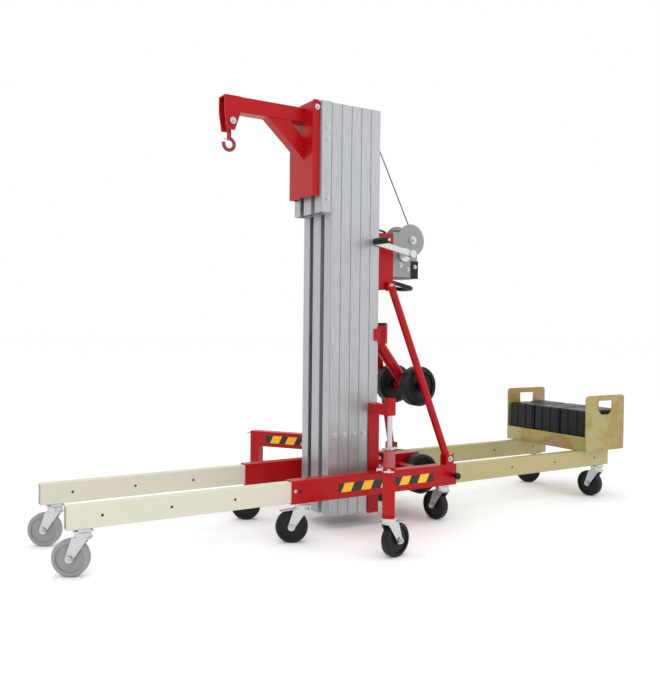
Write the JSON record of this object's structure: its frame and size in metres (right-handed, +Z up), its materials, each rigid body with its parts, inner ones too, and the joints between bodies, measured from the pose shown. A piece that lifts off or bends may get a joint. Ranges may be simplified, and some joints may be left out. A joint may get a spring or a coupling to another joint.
{
  "type": "manual stacker",
  "caption": "Hand-winched telescopic stacker on swivel casters with crane jib, swing-out stabilisers, loading wheels and a counterweight tray",
  "frame": {"origin": "on the floor, under the middle of the machine's length and width", "axes": "+X to the rear (winch and tray), +Y to the far side, +Z up"},
  "size_m": [2.7302, 1.1511, 1.746],
  "materials": {
    "red_paint": "gloss",
    "mast_aluminium": "satin",
    "black_paint": "satin",
    "yellow_zinc": "satin",
    "bright_zinc": "satin",
    "black_tyre": "matte",
    "pale_leg": "satin",
    "pale_tyre": "matte",
    "black_plastic": "matte",
    "rope_steel": "matte",
    "hook_copper": "satin"
  },
  "bodies": {
    "base": {"base_tube_near": "red_paint", "base_tube_far": "red_paint", "base_crossbeam": "red_paint", "mast_carrier": "red_paint", "brace_struts": "red_paint", "winch_bracket": "red_paint", "push_handle": "black_paint", "stabiliser_spindles": "bright_zinc", "front_legs": "pale_leg", "rear_legs": "yellow_zinc", "weight_tray": "yellow_zinc", "counterweights": "black_paint", "caster_plates": "bright_zinc", "mast_section_5": "mast_aluminium", "pulley_bracket": "bright_zinc", "winch_rope": "rope_steel", "winch_frame": "bright_zinc", "winch_cover": "black_plastic", "loader_frame": "red_paint"},
    "mast_4": {"mast_section_4": "mast_aluminium"},
    "mast_3": {"mast_section_3": "mast_aluminium"},
    "mast_2": {"mast_section_2": "mast_aluminium"},
    "mast_1": {"mast_section_1": "mast_aluminium"},
    "carriage": {"carriage": "mast_aluminium", "jib_bracket": "red_paint", "jib_boom": "red_paint"},
    "hook": {"hook": "hook_copper"},
    "hook_latch": {"hook_latch": "bright_zinc"},
    "drum": {"winch_drum": "bright_zinc"},
    "crank": {"crank": "bright_zinc"},
    "crank_grip": {"crank_grip": "black_plastic"},
    "pulley": {"top_pulley": "bright_zinc"},
    "stabiliser_near": {"stabiliser_near": "red_paint"},
    "plunger_near": {"plunger_near": "black_paint"},
    "stabiliser_far": {"stabiliser_far": "red_paint"},
    "plunger_far": {"plunger_far": "black_paint"},
    "fork_base_front_near": {"fork_base_front_near": "bright_zinc"},
    "wheel_base_front_near": {"wheel_base_front_near": "black_tyre"},
    "fork_base_front_far": {"fork_base_front_far": "bright_zinc"},
    "wheel_base_front_far": {"wheel_base_front_far": "black_tyre"},
    "fork_base_rear_near": {"fork_base_rear_near": "bright_zinc"},
    "wheel_base_rear_near": {"wheel_base_rear_near": "black_tyre"},
    "fork_base_rear_far": {"fork_base_rear_far": "bright_zinc"},
    "wheel_base_rear_far": {"wheel_base_rear_far": "black_tyre"},
    "fork_leg_front_near": {"fork_leg_front_near": "bright_zinc"},
    "wheel_leg_front_near": {"wheel_leg_front_near": "pale_tyre"},
    "fork_leg_front_far": {"fork_leg_front_far": "bright_zinc"},
    "wheel_leg_front_far": {"wheel_leg_front_far": "pale_tyre"},
    "fork_leg_rear_near": {"fork_leg_rear_near": "bright_zinc"},
    "wheel_leg_rear_near": {"wheel_leg_rear_near": "black_tyre"},
    "fork_leg_rear_far": {"fork_leg_rear_far": "bright_zinc"},
    "wheel_leg_rear_far": {"wheel_leg_rear_far": "black_tyre"},
    "fork_stabiliser_near": {"fork_stabiliser_near": "bright_zinc"},
    "wheel_stabiliser_near": {"wheel_stabiliser_near": "black_tyre"},
    "fork_stabiliser_far": {"fork_stabiliser_far": "bright_zinc"},
    "wheel_stabiliser_far": {"wheel_stabiliser_far": "black_tyre"},
    "loader_wheels_upper": {"loader_wheels_upper": "black_tyre"},
    "loader_wheels_lower": {"loader_wheels_lower": "black_tyre"}
  },
  "joints": [
    {"name": "mast_4_slide", "type": "slide", "parent": "base", "child": "mast_4", "axis": [0, 0, 1], "range_m": [0, 1.3]},
    {"name": "mast_3_slide", "type": "slide", "parent": "mast_4", "child": "mast_3", "axis": [0, 0, 1], "range_m": [0, 1.3]},
    {"name": "mast_2_slide", "type": "slide", "parent": "mast_3", "child": "mast_2", "axis": [0, 0, 1], "range_m": [0, 1.3]},
    {"name": "mast_1_slide", "type": "slide", "parent": "mast_2", "child": "mast_1", "axis": [0, 0, 1], "range_m": [0, 1.3]},
    {"name": "carriage_slide", "type": "slide", "parent": "mast_1", "child": "carriage", "axis": [0, 0, 1], "range_m": [-1.15, 0]},
    {"name": "hook_swing", "type": "hinge", "parent": "carriage", "child": "hook", "pos_m": [-0.66797, 0, 1.625], "axis": [0, 1, 0], "range_deg": [-40, 40]},
    {"name": "hook_latch_hinge", "type": "hinge", "parent": "hook", "child": "hook_latch", "pos_m": [-0.68047, 0, 1.5605], "axis": [0, 1, 0], "range_deg": [-30, 0], "stiffness_Nm_per_rad": 0.02},
    {"name": "drum_turn", "type": "hinge", "parent": "base", "child": "drum", "pos_m": [0.18711, 0, 1.217], "axis": [0, 1, 0], "continuous": true},
    {"name": "crank_turn", "type": "hinge", "parent": "base", "child": "crank", "pos_m": [0.14193, 0, 1.14977], "axis": [0, 1, 0], "continuous": true},
    {"name": "grip_turn", "type": "hinge", "parent": "crank", "child": "crank_grip", "pos_m": [-0.05811, -0.17, 1.18974], "axis": [0, 1, 0], "continuous": true},
    {"name": "pulley_turn", "type": "hinge", "parent": "base", "child": "pulley", "pos_m": [-0.02629, 0, 1.68], "axis": [0, 1, 0], "continuous": true},
    {"name": "stabiliser_near_swing", "type": "hinge", "parent": "base", "child": "stabiliser_near", "pos_m": [-0.05329, -0.24, 0.29], "axis": [0, 0, 1], "range_deg": [-20, 60]},
    {"name": "plunger_near_pull", "type": "slide", "parent": "base", "child": "plunger_near", "axis": [0, -1, 0], "range_m": [0, 0.012], "stiffness_N_per_m": 800},
    {"name": "stabiliser_far_swing", "type": "hinge", "parent": "base", "child": "stabiliser_far", "pos_m": [-0.05329, 0.24, 0.29], "axis": [0, 0, -1], "range_deg": [-20, 60]},
    {"name": "plunger_far_pull", "type": "slide", "parent": "base", "child": "plunger_far", "axis": [0, 1, 0], "range_m": [0, 0.012], "stiffness_N_per_m": 800},
    {"name": "fork_base_front_near_swivel", "type": "hinge", "parent": "base", "child": "fork_base_front_near", "pos_m": [-0.44129, -0.205, 0.14], "axis": [0, 0, 1], "continuous": true},
    {"name": "wheel_base_front_near_roll", "type": "hinge", "parent": "fork_base_front_near", "child": "wheel_base_front_near", "pos_m": [-0.47386, -0.18543, 0.0625], "axis": [-0.515, -0.8572, 0], "continuous": true},
    {"name": "fork_base_front_far_swivel", "type": "hinge", "parent": "base", "child": "fork_base_front_far", "pos_m": [-0.44129, 0.205, 0.14], "axis": [0, 0, 1], "continuous": true},
    {"name": "wheel_base_front_far_roll", "type": "hinge", "parent": "fork_base_front_far", "child": "wheel_base_front_far", "pos_m": [-0.47386, 0.22457, 0.0625], "axis": [-0.515, -0.8572, 0], "continuous": true},
    {"name": "fork_base_rear_near_swivel", "type": "hinge", "parent": "base", "child": "fork_base_rear_near", "pos_m": [0.25471, -0.205, 0.14], "axis": [0, 0, 1], "continuous": true},
    {"name": "wheel_base_rear_near_roll", "type": "hinge", "parent": "fork_base_rear_near", "child": "wheel_base_rear_near", "pos_m": [0.24942, -0.16737, 0.0625], "axis": [-0.9903, -0.1392, 0], "continuous": true},
    {"name": "fork_base_rear_far_swivel", "type": "hinge", "parent": "base", "child": "fork_base_rear_far", "pos_m": [0.25471, 0.205, 0.14], "axis": [0, 0, 1], "continuous": true},
    {"name": "wheel_base_rear_far_roll", "type": "hinge", "parent": "fork_base_rear_far", "child": "wheel_base_rear_far", "pos_m": [0.24942, 0.24263, 0.0625], "axis": [-0.9903, -0.1392, 0], "continuous": true},
    {"name": "fork_leg_front_near_swivel", "type": "hinge", "parent": "base", "child": "fork_leg_front_near", "pos_m": [-1.27129, -0.205, 0.14], "axis": [0, 0, 1], "continuous": true},
    {"name": "wheel_leg_front_near_roll", "type": "hinge", "parent": "fork_leg_front_near", "child": "wheel_leg_front_near", "pos_m": [-1.30386, -0.18543, 0.0625], "axis": [-0.515, -0.8572, 0], "continuous": true},
    {"name": "fork_leg_front_far_swivel", "type": "hinge", "parent": "base", "child": "fork_leg_front_far", "pos_m": [-1.27129, 0.205, 0.14], "axis": [0, 0, 1], "continuous": true},
    {"name": "wheel_leg_front_far_roll", "type": "hinge", "parent": "fork_leg_front_far", "child": "wheel_leg_front_far", "pos_m": [-1.30386, 0.22457, 0.0625], "axis": [-0.515, -0.8572, 0], "continuous": true},
    {"name": "fork_leg_rear_near_swivel", "type": "hinge", "parent": "base", "child": "fork_leg_rear_near", "pos_m": [1.24471, -0.205, 0.14], "axis": [0, 0, 1], "continuous": true},
    {"name": "wheel_leg_rear_near_roll", "type": "hinge", "parent": "fork_leg_rear_near", "child": "wheel_leg_rear_near", "pos_m": [1.23942, -0.16737, 0.0625], "axis": [-0.9903, -0.1392, 0], "continuous": true},
    {"name": "fork_leg_rear_far_swivel", "type": "hinge", "parent": "base", "child": "fork_leg_rear_far", "pos_m": [1.24471, 0.205, 0.14], "axis": [0, 0, 1], "continuous": true},
    {"name": "wheel_leg_rear_far_roll", "type": "hinge", "parent": "fork_leg_rear_far", "child": "wheel_leg_rear_far", "pos_m": [1.21214, 0.22457, 0.0625], "axis": [-0.515, -0.8572, 0], "continuous": true},
    {"name": "fork_stabiliser_near_swivel", "type": "hinge", "parent": "stabiliser_near", "child": "fork_stabiliser_near", "pos_m": [-0.27077, -0.53934, 0.14], "axis": [0, 0, 1], "continuous": true},
    {"name": "wheel_stabiliser_near_roll", "type": "hinge", "parent": "fork_stabiliser_near", "child": "wheel_stabiliser_near", "pos_m": [-0.2336, -0.53144, 0.0625], "axis": [-0.2079, 0.9781, 0], "continuous": true},
    {"name": "fork_stabiliser_far_swivel", "type": "hinge", "parent": "stabiliser_far", "child": "fork_stabiliser_far", "pos_m": [-0.27077, 0.53934, 0.14], "axis": [0, 0, 1], "continuous": true},
    {"name": "wheel_stabiliser_far_roll", "type": "hinge", "parent": "fork_stabiliser_far", "child": "wheel_stabiliser_far", "pos_m": [-0.2336, 0.54724, 0.0625], "axis": [-0.2079, 0.9781, 0], "continuous": true},
    {"name": "loader_wheels_upper_roll", "type": "hinge", "parent": "base", "child": "loader_wheels_upper", "pos_m": [0.20211, 0, 0.575], "axis": [0, 1, 0], "continuous": true},
    {"name": "loader_wheels_lower_roll", "type": "hinge", "parent": "base", "child": "loader_wheels_lower", "pos_m": [0.23671, 0, 0.183], "axis": [0, 1, 0], "continuous": true}
  ],
  "couplings": [
    {"joint": "mast_3_slide", "follows": "mast_4_slide", "ratio": 1},
    {"joint": "mast_2_slide", "follows": "mast_4_slide", "ratio": 1},
    {"joint": "mast_1_slide", "follows": "mast_4_slide", "ratio": 1},
    {"joint": "crank_turn", "follows": "drum_turn", "ratio": -3.5}
  ]
}
